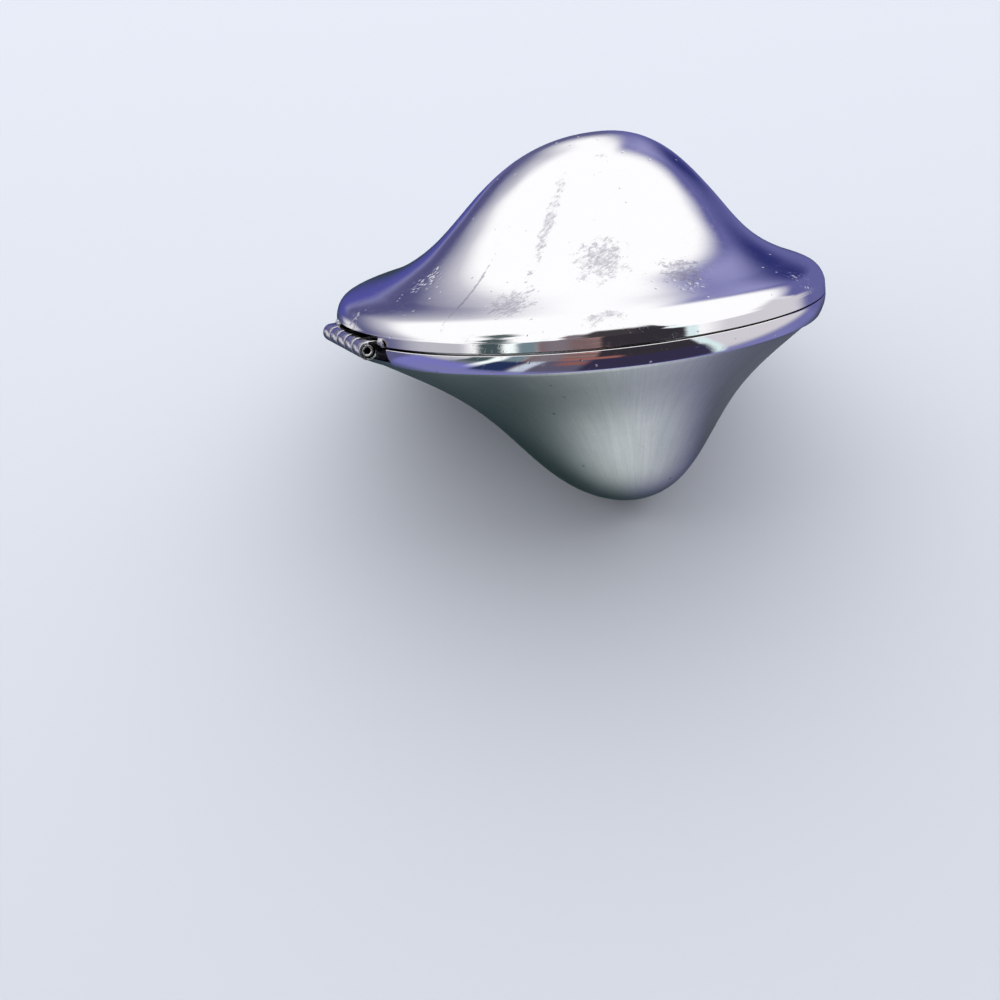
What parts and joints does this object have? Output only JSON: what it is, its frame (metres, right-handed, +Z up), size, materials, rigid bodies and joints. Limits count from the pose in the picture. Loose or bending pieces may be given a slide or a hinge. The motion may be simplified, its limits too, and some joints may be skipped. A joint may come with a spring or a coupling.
{
  "type": "trinket box",
  "caption": "Small hinged silver trinket box in the form of a fat spinning top, with a domed lid, a conical pointed base, an oval rim and a barrel hinge.",
  "frame": {"origin": "middle of the footprint, on the floor that the lying box rests on", "axes": "+Z up. The box lies tipped over: its lower tip points down and towards -Y, the crown of its lid leans towards +Y, the hinge is towards -X and the opening lip towards +X"},
  "size_m": [0.0614, 0.0578, 0.0499],
  "materials": {
    "silver_polished": "mirror-polished silver with fine wear",
    "silver_satin": "satin silver, brushed towards the tip",
    "silver_soldered": "rubbed silver with traces of solder"
  },
  "bodies": {
    "base": {"base_shell": "silver_satin", "base_rim_ring": "silver_polished", "closing_bezel": "silver_satin", "base_knuckle_1": "silver_soldered", "base_knuckle_2": "silver_soldered"},
    "lid": {"lid_shell": "silver_polished", "lid_rim_ring": "silver_polished", "lid_knuckle_1": "silver_soldered", "lid_knuckle_2": "silver_soldered", "lid_knuckle_3": "silver_soldered", "hinge_pin": "silver_soldered"}
  },
  "joints": [
    {"name": "lid_hinge", "type": "hinge", "parent": "base", "child": "lid", "pos_m": [-0.02687, -0.00754, 0.03051], "axis": [0.309, -0.7278, 0.6122], "range_deg": [0, 100]}
  ]
}
